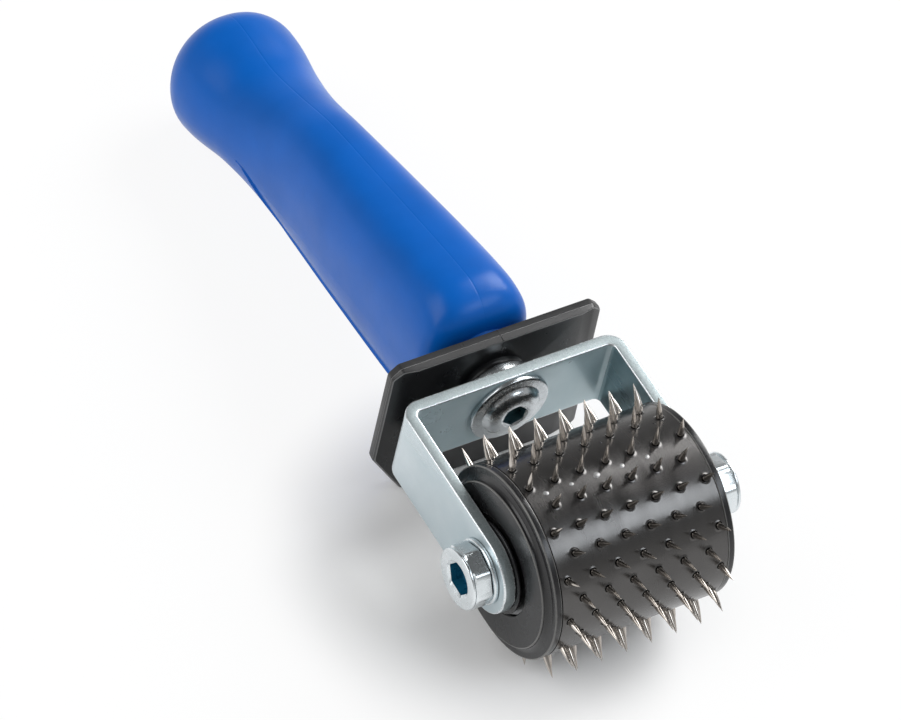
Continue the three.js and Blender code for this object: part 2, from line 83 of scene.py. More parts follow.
# Roller
SHELL_RADIUS = 24.8
SHELL_THICKNESS = 2.4
SHELL_END = 23.4
NEEDLE_ROWS = 27
ROW_ANGLE = math.radians(13)
LOWEST_ROW = 14
ROLLER_TURN = math.radians(4.2)
LONG_ROW = 7
NEEDLE_MARGIN = 2.0
TIP_RADIUS = 30.8
CAP_INNER = 23.55
CAP_RIM = 25.4
CAP_FACE = 27.15
CAP_BORE = 13.15
CAP_HOLLOW = 11.0
CAP_BACK = 17.05
CAP_BEARING_SEAT = 22.0
CAP_SPIGOT = 19.2
CAP_RAISED = 21.4

# Fasteners
BOLT_SEAT = ARM_OUTSIDE + 1.3
BOLT_HEAD = 4.45
BOLT_DISC = 0.95
BOLT_DISC_RADIUS = 7.95
BOLT_FLATS = 15.5
BOLT_SIDES = 8
BOLT_SOCKET = 8.0
WASHER_RADIUS = 8.5
WASHER_THICKNESS = 1.0
SPACER_START = 26.45
SPACER_RADIUS = 7.6
SPACER_FLANGE = 12.2
SPACER_FLANGE_THICKNESS = 0.65
SCREW_FLANGE = 10.95
SCREW_HEIGHT = 3.7
SCREW_SOCKET_FLATS = 6.0
SOCKET_SIDES = 6

# Guard
GUARD_FRONT = 49.9
GUARD_REAR = 53.8
GUARD_HALF_WIDTH = 29.9
GUARD_TOP = 15.6
GUARD_BOTTOM = -33.7
GUARD_CHAMFER = 2.4
GUARD_FOOT_CHAMFER = 0.8
GUARD_FLARE = 1.8
GUARD_CUT_ACROSS = 9.3
GUARD_CUT_UP = 14.3
GUARD_FIELD = 23.5
GUARD_FALL = 1.15
GUARD_SEAM = 51.9
GUARD_EASE = 0.7
BOSS_BORE = 5.3
GUARD_SPACER_RADIUS = 9.7
SPACER_REAR = WEB_REAR + 3.0

# Handle
HANDLE_FRONT = 57.0
HANDLE_LENGTH = 136.4
HANDLE_DROOP = math.radians(10.9)
GRIP_HALF_WIDTH = 15.4
GRIP_HALF_HEIGHT = 22.0
SHOULDER_UP = 11.0
SHOULDER_ACROSS = 5.0
FRONT_SQUARING = 40.0
POMMEL_ROUND = 14.0
POMMEL_SQUARENESS = 2.2
NECK_RADIUS = 10.8
NECK_FLARE = 0.6
NECK_ROOT = 2.0
PANEL_FROM = 12.0
PANEL_TO = 98.0
PANEL_DEPTH = 0.6
PANEL_WALL = 0.4
PANEL_LOW = -15.0
PANEL_HIGH = -3.9
PANEL_SAG = 3.0
PANEL_SAG_FROM = 30.0
PANEL_NARROWS = 80.0
PANEL_RISE = 3.4
PANEL_RISE_FROM = 86.0

# Along the handle: share of its length, width and height as shares of the grip's, squareness
STATIONS = (
    (0, 1, 0.982, 3.0),
    (0.132, 0.981, 1, 3.0),
    (0.397, 0.896, 0.955, 2.7),
    (0.559, 0.831, 0.918, 2.5),
    (0.676, 0.89, 0.795, 2.3),
    (0.779, 1.03, 0.727, 2.2),
    (0.875, 1.175, 0.818, 2.1),
    (1, 1.18, 0.875, 2.1),
)


class Shape:
    """Points and faces of one piece, in the tool's axes."""

    def __init__(self):
        self.points = []
        self.faces = []
        self.paints = []

    def add(self, points, faces, paint=0):
        start = len(self.points)
        self.points.extend(points)
        for face in faces:
            self.faces.append([start + i for i in face])
            self.paints.append(paint)

    def rings(self, rings, paints=0, closed=False):
        """Joins equal rings of points in their order; paints is one number, or one for each band."""
        count = len(rings[0])
        points = [p for ring in rings for p in ring]
        start = len(self.points)
        self.points.extend(points)
        bands = len(rings) if closed else len(rings) - 1
        for band in range(bands):
            here = start + band * count
            there = start + (band + 1) % len(rings) * count
            paint = paints if isinstance(paints, int) else paints[band]
            for i in range(count):
                j = (i + 1) % count
                self.faces.append([here + i, here + j, there + j, there + i])
                self.paints.append(paint)

    def lid(self, ring, centre, paint=0):
        """Closes a ring of points with a fan about a centre."""
        start = len(self.points)
        self.points.extend(ring)
        self.points.append(centre)
        hub = start + len(ring)
        for i in range(len(ring)):
            self.faces.append([start + i, start + (i + 1) % len(ring), hub])
            self.paints.append(paint)


def piece(name, shape, body, materials, replaced=(), sharp=32.0, merge=0.0005):
    """Makes one object of a shape, cleans its mesh and sets it on its body."""
    mesh = bpy.data.meshes.new(name)
    mesh.from_pydata([Vector(p) for p in shape.points], [], shape.faces)
    for material in materials:
        mesh.materials.append(material)
    for polygon, paint in zip(mesh.polygons, shape.paints):
        polygon.material_index = paint
        polygon.use_smooth = True
    work = bmesh.new()
    work.from_mesh(mesh)
    bmesh.ops.remove_doubles(work, verts=work.verts, dist=merge)
    bmesh.ops.dissolve_degenerate(work, edges=work.edges, dist=merge / 5)
    bmesh.ops.recalc_face_normals(work, faces=work.faces)
    work.to_mesh(mesh)
    work.free()
    mesh.transform(TOOL)
    mesh.set_sharp_from_angle(angle=math.radians(sharp))
    obj = bpy.data.objects.new(name, mesh)
    bpy.context.scene.collection.objects.link(obj)
    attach(obj, body)
    if replaced:
        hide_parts(*replaced)


def circle_x(x, radius, steps, turn=0.0):
    ring = []
    for i in range(steps):
        angle = turn + i / steps * math.tau
        ring.append((x, radius * math.cos(angle), radius * math.sin(angle)))
    return ring


def circle_y(y, radius):
    return [(a, y, b) for _, a, b in circle_x(y, radius, ROUND_STEPS)]


def polygon_x(x, across_flats, sides, steps, turn, corner=0.0):
    """Ring about X on a regular polygon, its corners eased by a given amount."""
    ring = []
    apothem = across_flats / 2
    for i in range(steps):
        angle = turn + i / steps * math.tau
        local = (angle - turn) % (math.tau / sides) - math.pi / sides
        radius = min(apothem / math.cos(local), apothem / math.cos(math.pi / sides) - corner)
        ring.append((x, radius * math.cos(angle), radius * math.sin(angle)))
    return ring


def polygon_y(y, across_flats, sides, turn):
    return [(a, y, b) for _, a, b in polygon_x(y, across_flats, sides, ROUND_STEPS, turn)]


def eased_corner(before, corner, after, radius, most, count):
    """Curve in place of a corner; it takes up at most a given share of the lines beside it."""
    to_before = before - corner
    to_after = after - corner
    cut = min(radius, to_before.length * most, to_after.length * most)
    start = corner + to_before.normalized() * cut
    end = corner + to_after.normalized() * cut
    curve = []
    for i in range(count + 1):
        t = i / count
        curve.append(start.lerp(corner, t).lerp(corner.lerp(end, t), t))
    return curve


def rounded(points, radius, count=4):
    """Rounds the inner corners of an open line of (radius, height) points."""
    line = [Vector(p) for p in points]
    out = [line[0]]
    for before, corner, after in zip(line, line[1:], line[2:]):
        out += eased_corner(before, corner, after, radius, 0.45, count)
    out.append(line[-1])
    return [(p.x, p.y) for p in out]


# Materials


def node(tree, kind, at=(0, 0), inputs=None, **settings):
    new = tree.nodes.new(kind)
    new.location = at
    for key, value in settings.items():
        setattr(new, key, value)
    for key, value in (inputs or {}).items():
        new.inputs[key].default_value = value
    return new


def start_material(name):
    material = bpy.data.materials.new(name)
    material.use_nodes = True
    tree = material.node_tree
    return material, tree, tree.nodes["Principled BSDF"]


def ramp(tree, source, stops, at=(0, 0)):
    """Colour ramp from a value socket; stops are (place, colour)."""
    new = node(tree, "ShaderNodeValToRGB", at)
    elements = new.color_ramp.elements
    while len(elements) < len(stops):
        elements.new(0.5)
    for element, (place, colour) in zip(elements, stops):
        element.position = place
        element.color = (*colour, 1)
    tree.links.new(source, new.inputs["Fac"])
    return new.outputs["Color"]


def grey(value):
    return (value, value, value)


def noise(tree, coords, scale, detail=3.0, rough=0.55, stretch=None, at=(0, 0)):
    new = node(tree, "ShaderNodeTexNoise", at, {"Scale": scale, "Detail": detail, "Roughness": rough})
    source = coords
    if stretch:
        mapping = node(tree, "ShaderNodeMapping", (at[0] - 200, at[1]))
        mapping.inputs["Scale"].default_value = stretch
        tree.links.new(coords, mapping.inputs["Vector"])
        source = mapping.outputs["Vector"]
    tree.links.new(source, new.inputs["Vector"])
    return new.outputs["Fac"]


def bump(tree, shader, height, strength, distance, under=None):
    new = node(tree, "ShaderNodeBump", (-200, -400), {"Strength": strength, "Distance": distance})
    tree.links.new(height, new.inputs["Height"])
    if under:
        tree.links.new(under, new.inputs["Normal"])
    tree.links.new(new.outputs["Normal"], shader.inputs["Normal"])
    return new.outputs["Normal"]


def uneven_gloss(tree, shader, source, rough, at):
    """Roughness that wanders between two values."""
    low, high = rough
    polish = ramp(tree, source, [(0.3, grey(low)), (0.7, grey(high))], at)
    tree.links.new(polish, shader.inputs["Roughness"])


def object_coords(tree):
    return node(tree, "ShaderNodeTexCoord", (-1200, 0)).outputs["Object"]


def moulded(name, dark, light, rough, grain, shine):
    """Moulded plastic: faint clouding of the colour, spark-eroded grain, uneven gloss."""
    material, tree, shader = start_material(name)
    shader.inputs["Specular IOR Level"].default_value = shine
    coords = object_coords(tree)
    cloud = noise(tree, coords, 55, 4, at=(-900, 200))
    colour = ramp(tree, cloud, [(0.3, dark), (0.7, light)], (-600, 200))
    tree.links.new(colour, shader.inputs["Base Color"])
    gloss = noise(tree, coords, 140, 5, at=(-900, -100))
    uneven_gloss(tree, shader, gloss, rough, (-600, -100))
    fine = noise(tree, coords, 2600, 2, 0.6, at=(-900, -400))
    broad = noise(tree, coords, 420, 3, at=(-900, -700))
    first = bump(tree, shader, fine, grain, 0.00006)
    bump(tree, shader, broad, grain * 0.6, 0.00008, first)
    return material


def metal(name, stops, scale, rough, grain, stretch=None, metallic=1.0):
    """Bare or plated metal: clouded colour, drawn or shot grain, uneven polish."""
    material, tree, shader = start_material(name)
    shader.inputs["Metallic"].default_value = metallic
    coords = object_coords(tree)
    cloud = noise(tree, coords, scale, 5, at=(-900, 200))
    tree.links.new(ramp(tree, cloud, stops, (-600, 200)), shader.inputs["Base Color"])
    gloss = noise(tree, coords, scale * 3, 4, stretch=stretch, at=(-900, -100))
    uneven_gloss(tree, shader, gloss, rough, (-600, -100))
    fine = noise(tree, coords, 1800, 3, stretch=stretch, at=(-900, -400))
    bump(tree, shader, fine, grain, 0.00004)
    return material


BLUE = moulded(
    "blue_plastic", (0.001, 0.100, 0.44), (0.0015, 0.114, 0.50),
    rough=(0.28, 0.36), grain=0.2, shine=0.22)
GUARD_BLACK = moulded(
    "guard_plastic", (0.006, 0.006, 0.007), (0.010, 0.010, 0.011),
    rough=(0.26, 0.36), grain=0.2, shine=0.4)
# Rim bands round the guard's outline: the same black plastic, rougher, and painted lighter as painted light
# where light falls on them.
GUARD_RIM_LIT = moulded(
    "guard_rim_lit_plastic", (0.016, 0.016, 0.017), (0.024, 0.024, 0.025),
    rough=(0.34, 0.46), grain=0.25, shine=0.5)
# Pale grey on the guard's front crease and seam band: a painted highlight on the black plastic.
GUARD_CREASE_HIGHLIGHT = moulded(
    "guard_crease_highlight_plastic", (0.13, 0.13, 0.13), (0.20, 0.20, 0.20),
    rough=(0.3, 0.4), grain=0.1, shine=0.5)
CAP_BLACK = moulded(
    "cap_plastic", (0.006, 0.006, 0.007), (0.011, 0.011, 0.012),
    rough=(0.22, 0.32), grain=0.08, shine=0.5)
# Grey on chosen rounded corners of the end caps: a painted highlight on the black plastic.
CAP_EDGE_HIGHLIGHT = moulded(
    "cap_edge_highlight_plastic", (0.10, 0.098, 0.095), (0.16, 0.157, 0.15),
    rough=(0.25, 0.35), grain=0.06, shine=0.5)
ZINC_FACE = metal(
    "zinc_face", [(0.3, (0.49, 0.59, 0.63)), (0.55, (0.58, 0.66, 0.69)), (0.75, (0.66, 0.73, 0.76))],
    scale=45, rough=(0.24, 0.36), grain=0.04, stretch=(1, 0.12, 1), metallic=0.8)
# Inner face of the web: the same zinc painted lighter and more teal, a painted light standing in for light
# reflected between the arms.
ZINC_INSIDE_LIT = metal(
    "zinc_inside_painted_light", [(0.3, (0.52, 0.66, 0.70)), (0.55, (0.60, 0.73, 0.77)), (0.75, (0.68, 0.80, 0.84))],
    scale=45, rough=(0.26, 0.38), grain=0.04, stretch=(1, 0.12, 1), metallic=0.35)
# Inner faces of the arms: the same zinc painted darker, as painted shade inside the yoke.
ZINC_ARM_INSIDE_SHADED = metal(
    "zinc_arm_inside_painted_shade", [(0.3, (0.22, 0.33, 0.37)), (0.55, (0.30, 0.42, 0.46)), (0.75, (0.40, 0.52, 0.56))],
    scale=45, rough=(0.24, 0.36), grain=0.04, stretch=(1, 0.12, 1), metallic=0.9)
ZINC_SHEARED = metal(
    "zinc_sheared_edge", [(0.3, (0.24, 0.29, 0.30)), (0.5, (0.33, 0.38, 0.39)), (0.7, (0.44, 0.49, 0.50))],
    scale=3400, rough=(0.36, 0.5), grain=0.1, metallic=0.6)
# Pale zinc for eased edges and socket rims: a painted highlight along the edges.
ZINC_EDGE_HIGHLIGHT = metal(
    "zinc_edge_highlight", [(0.3, (0.68, 0.73, 0.75)), (0.7, (0.80, 0.84, 0.86))],
    scale=160, rough=(0.2, 0.32), grain=0.02, metallic=0.7)
ZINC_BOLT = metal(
    "zinc_bolt", [(0.3, (0.68, 0.73, 0.75)), (0.7, (0.80, 0.84, 0.86))],
    scale=120, rough=(0.22, 0.3), grain=0.02)
# Inside of the bolt sockets: the plating painted dark teal, as painted shade in the recess.
SOCKET_SHADE = metal(
    "socket_painted_shade", [(0.3, (0.008, 0.11, 0.19)), (0.7, (0.014, 0.16, 0.27))],
    scale=300, rough=(0.24, 0.36), grain=0.03, metallic=0.4)
# Inside of the screw socket: the plating painted dark teal, as painted shade in the recess.
SCREW_SOCKET_SHADE = metal(
    "screw_socket_painted_shade", [(0.3, (0.06, 0.13, 0.15)), (0.7, (0.10, 0.20, 0.23))],
    scale=300, rough=(0.26, 0.4), grain=0.1, metallic=0.6)
POLISHED = metal(
    "polished_screw", [(0.3, (0.50, 0.53, 0.55)), (0.7, (0.64, 0.67, 0.69))],
    scale=200, rough=(0.2, 0.3), grain=0.02)
NEEDLE = metal(
    "needle_steel", [(0.3, (0.46, 0.42, 0.38)), (0.7, (0.58, 0.54, 0.50))],
    scale=400, rough=(0.15, 0.2), grain=0.01)
# Near-black steel for the needle seats and pits: painted shade in the holes.
SEAT_SHADE = metal(
    "needle_seat_painted_shade", [(0.3, (0.03, 0.03, 0.032)), (0.7, (0.07, 0.07, 0.075))],
    scale=500, rough=(0.3, 0.45), grain=0.1)
SOLDER = metal(
    "solder", [(0.3, grey(0.34)), (0.7, grey(0.5))],
    scale=500, rough=(0.3, 0.42), grain=0.05, metallic=0.6)
# Steel of the bearings and axle sleeve, painted dark as shade inside the cap's bore.
BEARING_SHADED = metal(
    "bearing_steel", [(0.3, (0.20, 0.205, 0.21)), (0.7, (0.28, 0.285, 0.29))],
    scale=200, rough=(0.3, 0.4), grain=0.05)
BACKING = metal(
    "backing_steel", [(0.3, (0.28, 0.28, 0.29)), (0.7, (0.38, 0.38, 0.39))],
    scale=150, rough=(0.28, 0.4), grain=0.1)
BRASS = metal(
    "brass", [(0.3, (0.55, 0.39, 0.16)), (0.7, (0.68, 0.50, 0.23))],
    scale=150, rough=(0.24, 0.36), grain=0.1)


def drum_material():
    """Dark rolled steel of the drum, with faint drawn lines round it and a few stains."""
    material, tree, shader = start_material("drum_steel")
    shader.inputs["Metallic"].default_value = 0.92
    shader.inputs["Anisotropic"].default_value = 0.35
    coords = object_coords(tree)
    cloud = noise(tree, coords, 38, 5, at=(-900, 300))
    base = ramp(tree, cloud, [(0.3, (0.085, 0.082, 0.080)), (0.7, (0.115, 0.112, 0.110))], (-600, 300))
    stain = noise(tree, coords, 95, 3, at=(-900, 600))
    mask = ramp(tree, stain, [(0.71, grey(0)), (0.76, grey(1))], (-600, 600))
    mix = node(tree, "ShaderNodeMix", (-300, 400), data_type="RGBA")
    tree.links.new(mask, mix.inputs["Factor"])
    tree.links.new(base, mix.inputs["A"])
    mix.inputs["B"].default_value = (0.05, 0.036, 0.027, 1)
    tree.links.new(mix.outputs["Result"], shader.inputs["Base Color"])
    gloss = noise(tree, coords, 260, 4, stretch=(1, 0.2, 0.2), at=(-900, 0))
    uneven_gloss(tree, shader, gloss, (0.2, 0.29), (-600, 0))
    lines = noise(tree, coords, 1500, 3, stretch=(1, 0.06, 0.06), at=(-900, -400))
    bump(tree, shader, lines, 0.12, 0.00004)
    return material


DRUM = drum_material()

# Handle


def station_value(column, at):
    """Smooth value between the stations of the handle."""
    last = len(STATIONS) - 1
    i = 1
    while i < last and STATIONS[i][0] < at:
        i += 1

    def pick(k):
        return STATIONS[min(max(k, 0), last)]

    def slope(k):
        return (pick(k + 1)[column] - pick(k - 1)[column]) / (pick(k + 1)[0] - pick(k - 1)[0])

    span = pick(i)[0] - pick(i - 1)[0]
    t = (at - pick(i - 1)[0]) / span
    start = (1 + 2 * t) * (1 - t) ** 2 * pick(i - 1)[column] + t * (1 - t) ** 2 * span * slope(i - 1)
    end = t * t * (3 - 2 * t) * pick(i)[column] + t * t * (t - 1) * span * slope(i)
    return start + end


def smooth_step(low, high, value):
    t = min(max((value - low) / (high - low), 0.0), 1.0)
    return t * t * (3 - 2 * t)


def panel_bounds(at):
    """Lower and upper edge of the long sunk panel; it runs out in a point towards the pommel."""
    closing = smooth_step(PANEL_NARROWS, PANEL_TO, at)
    sag = PANEL_SAG * smooth_step(PANEL_SAG_FROM, PANEL_NARROWS, at)
    rise = PANEL_RISE * smooth_step(PANEL_RISE_FROM, PANEL_TO, at)
    upper = PANEL_HIGH - sag + rise
    lower = PANEL_LOW + (upper - PANEL_LOW) * closing
    return lower, upper


# Mould seam: places across it and its depth there; it fades where the handle is narrower than this
SEAM = (0.42, 0.1, 0.0, -0.1, -0.42)
SEAM_DEPTH = (0.0, 0.012, 0.045, 0.012, 0.0)
SEAM_FADES_BELOW = 4.0

# Parts of a flank from the bottom up: below the panel, its wall, the panel, its wall, above it
FLANK_COLUMNS = (16, 1, 18, 1, 40)
FLANK_LIMITS = (0.93, 0.91, 0.5, 0.48)
SUNK_PARTS = (2, 3)


def handle_ring(at):
    """Ring of points round the handle at a distance from its front, in the handle's own axes."""

    def round_off(radius):
        return radius * (1 - math.sqrt(1 - max(0.0, 1 - at / radius) ** 2))

    into = max(0.0, 1 - (HANDLE_LENGTH - at) / POMMEL_ROUND)
    closing = max(0.0, 1 - into ** POMMEL_SQUARENESS) ** (1 / POMMEL_SQUARENESS)
    place = at / HANDLE_LENGTH
    half_width = (station_value(1, place) * GRIP_HALF_WIDTH - round_off(SHOULDER_ACROSS)) * closing
    half_height = (station_value(2, place) * GRIP_HALF_HEIGHT - round_off(SHOULDER_UP)) * closing
    square = station_value(3, place)
    lean = math.tan(HANDLE_DROOP) * max(0.0, 1 - at / FRONT_SQUARING) ** 2
    lower, upper = panel_bounds(at)
    inside = PANEL_FROM + PANEL_WALL / 2 < at < PANEL_TO - PANEL_WALL / 2
    anchors = [-math.pi / 2]
    for edge, limit in zip((lower - PANEL_WALL, lower, upper, upper + PANEL_WALL), FLANK_LIMITS):
        share = min(-edge / half_height, limit)
        anchors.append(-math.asin(share ** (square / 2)))
    anchors.append(math.pi / 2)
    flank = []
    for part, count in enumerate(FLANK_COLUMNS):
        first, last = anchors[part:part + 2]
        depth = PANEL_DEPTH if inside and part in SUNK_PARTS else 0.0
        for k in range(count):
            flank.append((first + (last - first) * k / count, depth))
    ring = []

    def put(across, up, depth):
        normal = Vector((
            math.copysign(abs(across / half_width) ** (square - 1), across) / half_width,
            math.copysign(abs(up / half_height) ** (square - 1), up) / half_height))
        if normal.length > 0:
            normal.normalize()
        ring.append((across - normal.x * depth, at - up * lean, up - normal.y * depth))

    def put_seam(sign):
        ease = min(1.0, half_width / SEAM_FADES_BELOW)
        for across, depth in zip(SEAM, SEAM_DEPTH):
            x = sign * across * ease
            up = sign * half_height * (1 - abs(x / half_width) ** square) ** (1 / square)
            put(x, up, depth * ease)

    def put_flank(side, columns):
        for angle, depth in columns:
            across = side * math.cos(angle) ** (2 / square) * half_width
            up = math.copysign(abs(math.sin(angle)) ** (2 / square), math.sin(angle)) * half_height
            put(across, up, depth)

    put_seam(-1)
    put_flank(1, flank[1:])
    put_seam(1)
    put_flank(-1, reversed(flank[1:]))
    return ring


def from_handle(point):
    """Handle's own axes to the tool's axes."""
    x, at, up = point
    return (
        x,
        HANDLE_FRONT + at * math.cos(HANDLE_DROOP) + up * math.sin(HANDLE_DROOP),
        up * math.cos(HANDLE_DROOP) - at * math.sin(HANDLE_DROOP),
    )


def make_handle():
    shape = Shape()
    places = []
    steps = 18
    for i in range(steps):
        places.append(SHOULDER_UP * (1 - math.cos(i / steps * math.pi / 2)))
    body_end = HANDLE_LENGTH - POMMEL_ROUND
    body_steps = 150
    for i in range(body_steps):
        places.append(SHOULDER_UP + (body_end - SHOULDER_UP) * i / body_steps)
    for edge in (PANEL_FROM, PANEL_TO):
        places.append(edge)
        places.append(edge + math.copysign(PANEL_WALL, PANEL_TO - PANEL_FROM - edge))
    pommel_steps = 30
    for i in range(pommel_steps):
        places.append(body_end + POMMEL_ROUND * math.sin(i / pommel_steps * math.pi / 2))
    rings = []
    for at in sorted(places):
        rings.append([from_handle(p) for p in handle_ring(at)])
    shape.rings(rings)
    shape.lid(rings[0], from_handle((0, 0, 0)))
    shape.lid(rings[-1], from_handle((0, HANDLE_LENGTH, 0)))
    neck = rounded([
        (CLEAR_BORE, GUARD_REAR + SEAT_GAP),
        (NECK_RADIUS - 0.2, GUARD_REAR + SEAT_GAP),
        (NECK_RADIUS, HANDLE_FRONT - NECK_FLARE),
        (NECK_RADIUS + NECK_FLARE, HANDLE_FRONT + 0.05),
        (NECK_RADIUS + NECK_FLARE, HANDLE_FRONT + NECK_ROOT),
        (CLEAR_BORE, HANDLE_FRONT + NECK_ROOT),
    ], 0.5)
    shape.rings([circle_y(y, radius) for radius, y in neck], closed=True)
    piece("handle_moulding", shape, "holder", [BLUE], ["handle_grip"], sharp=42)


make_handle()

# Guard


def guard_outline(inset):
    """Outline of the guard in X and Z drawn in by inset, with eased corners and points on the fold lines."""
    half = GUARD_HALF_WIDTH - inset
    top = GUARD_TOP - inset
    bottom = GUARD_BOTTOM + inset
    foot = half - GUARD_CUT_ACROSS
    fold_low = bottom + GUARD_CUT_UP * (GUARD_FIELD - foot) / GUARD_CUT_ACROSS
    corners = [
        (GUARD_FIELD, bottom, False),
        (half + GUARD_FLARE - GUARD_FOOT_CHAMFER, bottom, True),
        (half + GUARD_FLARE, bottom + GUARD_FOOT_CHAMFER, True),
        (half, top - GUARD_CHAMFER, True),
        (half - GUARD_CHAMFER, top, True),
        (GUARD_FIELD, top, False),
        (-GUARD_FIELD, top, False),
        (GUARD_CHAMFER - half, top, True),
        (-half, top - GUARD_CHAMFER, True),
        (-half, bottom + GUARD_CUT_UP, True),
        (-GUARD_FIELD, fold_low, False),
        (-foot, bottom, True),
    ]
    outline = []
    for i, (x, z, eased) in enumerate(corners):
        here = Vector((x, z))
        if not eased:
            outline.append(here)
            continue
        before = Vector(corners[i - 1][:2])
        after = Vector(corners[(i + 1) % len(corners)][:2])
        outline += eased_corner(before, here, after, GUARD_EASE, 0.4, 5)
    return outline


def guard_front(x):
    """Place of the guard's front face, which falls back beyond the fold lines."""
    return GUARD_FRONT + GUARD_FALL * max(0.0, abs(x) - GUARD_FIELD) / (GUARD_HALF_WIDTH - GUARD_FIELD)


def box_faces(shape, low, high):
    """Small bar between two corners, a little narrower at its top."""
    (x0, y0, z0), (x1, y1, z1) = low, high
    ends = []
    for y in (y0, y1):
        ends.append([(x0, y, z0), (x1, y, z0), (x1 - 0.05, y, z1), (x0 + 0.05, y, z1)])
    shape.rings(ends)
    for end in ends:
        shape.add(end, [[0, 1, 2, 3]])


GUARD_RIM_LIT_PAINT = 1
GUARD_HIGHLIGHT_PAINT = 2


def make_guard():
    shape = Shape()
    rings = []
    for inset, y in (
        (0.42, GUARD_REAR),
        (0.18, GUARD_REAR - 0.07),
        (0.1, GUARD_REAR - 0.3),
        (0.0, GUARD_SEAM + 0.14),
        (0.08, GUARD_SEAM + 0.07),
        (0.08, GUARD_SEAM - 0.07),
        (0.02, GUARD_SEAM - 0.14),
    ):
        rings.append([(p.x, y, p.y) for p in guard_outline(inset)])
    for inset, behind in ((0.1, 0.34), (0.17, 0.12), (0.42, 0.0)):
        rings.append([(p.x, guard_front(p.x) + behind, p.y) for p in guard_outline(inset)])
    # The rim bands take the lighter rim paint, which is painted light.
    paints = [GUARD_RIM_LIT_PAINT] * (len(rings) - 1)
    # The seam band and the front crease take the pale grey, a painted highlight.
    paints[4] = GUARD_HIGHLIGHT_PAINT
    paints[-1] = GUARD_HIGHLIGHT_PAINT
    shape.rings(rings, paints)
    shape.lid(rings[0], (0, GUARD_REAR, 0))
    slack = 0.001
    wide = GUARD_HALF_WIDTH + GUARD_FLARE
    for low, high in ((-wide, -GUARD_FIELD), (-GUARD_FIELD, GUARD_FIELD), (GUARD_FIELD, wide)):
        field = [p for p in rings[-1] if low - slack <= p[0] <= high + slack]
        shape.add(field, [list(range(len(field)))])
    boss = rounded([
        (BOSS_BORE, SPACER_REAR + SEAT_GAP),
        (8.2, SPACER_REAR + SEAT_GAP),
        (8.3, GUARD_FRONT - 0.5),
        (9.2, GUARD_FRONT + 0.1),
        (9.2, GUARD_FRONT + 0.8),
        (BOSS_BORE, GUARD_FRONT + 0.8),
    ], 0.5, 5)
    shape.rings([circle_y(y, radius) for radius, y in boss], closed=True)
    for low, high in (
        ((0.55, GUARD_FRONT + 0.1, GUARD_TOP - 0.5), (0.85, GUARD_REAR - 0.2, GUARD_TOP - 0.02)),
        ((0.55, GUARD_FRONT - 0.05, GUARD_TOP - 9.0), (0.85, GUARD_FRONT + 0.3, GUARD_TOP - 0.6)),
        ((-10.4, GUARD_SEAM + 0.4, GUARD_TOP - 0.4), (-10.1, GUARD_SEAM + 1.3, GUARD_TOP - 0.01)),
        ((-9.5, GUARD_SEAM + 0.4, GUARD_TOP - 0.4), (-9.2, GUARD_SEAM + 1.3, GUARD_TOP - 0.01)),
    ):
        box_faces(shape, low, high)
    piece(
        "guard_moulding", shape, "holder", [GUARD_BLACK, GUARD_RIM_LIT, GUARD_CREASE_HIGHLIGHT], ["guard"],
        sharp=24)


def make_guard_spacer():
    shape = Shape()
    outline = rounded([
        (CLEAR_BORE, WEB_REAR + 1.0),
        (CLEAR_BORE, WEB_REAR + SEAT_GAP),
        (GUARD_SPACER_RADIUS, WEB_REAR + SEAT_GAP),
        (GUARD_SPACER_RADIUS, SPACER_REAR),
        (CLEAR_BORE, SPACER_REAR),
        (CLEAR_BORE, WEB_REAR + 1.0),
    ], 0.5, 5)
    shape.rings([circle_y(y, radius) for radius, y in outline[:-1]], closed=True)
    piece("guard_spacer_ring", shape, "holder", [ZINC_BOLT], ["guard_spacer"])


make_guard_spacer()
make_guard()

# Yoke


def bar_path(length):
    """Point on the bar's inner face, at a distance from the middle of the web, and the way out from it."""
    side = 1 if length >= 0 else -1
    run = abs(length)
    straight = ARM_INSIDE - BEND_INSIDE
    turn = BEND_INSIDE * math.pi / 2
    if run <= straight:
        return (side * run, WEB_FRONT), (0, 1)
    if run <= straight + turn:
        angle = (run - straight) / BEND_INSIDE
        centre = (straight, WEB_FRONT - BEND_INSIDE)
        out = (math.sin(angle), math.cos(angle))
        return (
            (side * (centre[0] + BEND_INSIDE * out[0]), centre[1] + BEND_INSIDE * out[1]),
            (side * out[0], out[1]),
        )
    rest = run - straight - turn
    return (side * ARM_INSIDE, WEB_FRONT - BEND_INSIDE - rest), (side, 0)


def bar_section(length, half_face, half_edge):
    """Closed ring round the bar: inner face, eased edge, sheared edge, eased edge, outer face and back."""
    (x, y), (out_x, out_y) = bar_path(length)
    gap = half_edge - half_face
    angles = [k / EDGE_COLUMNS * math.pi / 2 for k in range(1, EDGE_COLUMNS)]
    half = []
    for k in range(FACE_COLUMNS + 1):
        half.append((0, half_face * (2 * k / FACE_COLUMNS - 1)))
    for angle in angles:
        half.append((BAR_EDGE * (1 - math.cos(angle)), half_face + gap * math.sin(angle)))
    for depth in (BAR_EDGE, BAR_THICKNESS / 2, BAR_THICKNESS - BAR_EDGE):
        half.append((depth, half_edge))
    for angle in angles:
        half.append((BAR_THICKNESS - BAR_EDGE * (1 - math.sin(angle)), half_face + gap * math.cos(angle)))
    turned = [(BAR_THICKNESS - depth, -w) for depth, w in half]
    return [(x + out_x * depth, y + out_y * depth, w) for depth, w in half + turned]


# Paints of the yoke, in the order of its materials
YOKE_OUTSIDE, YOKE_SHEARED, YOKE_EDGE_HIGHLIGHT, YOKE_WEB_INSIDE_LIT, YOKE_ARM_INSIDE_SHADED = range(5)


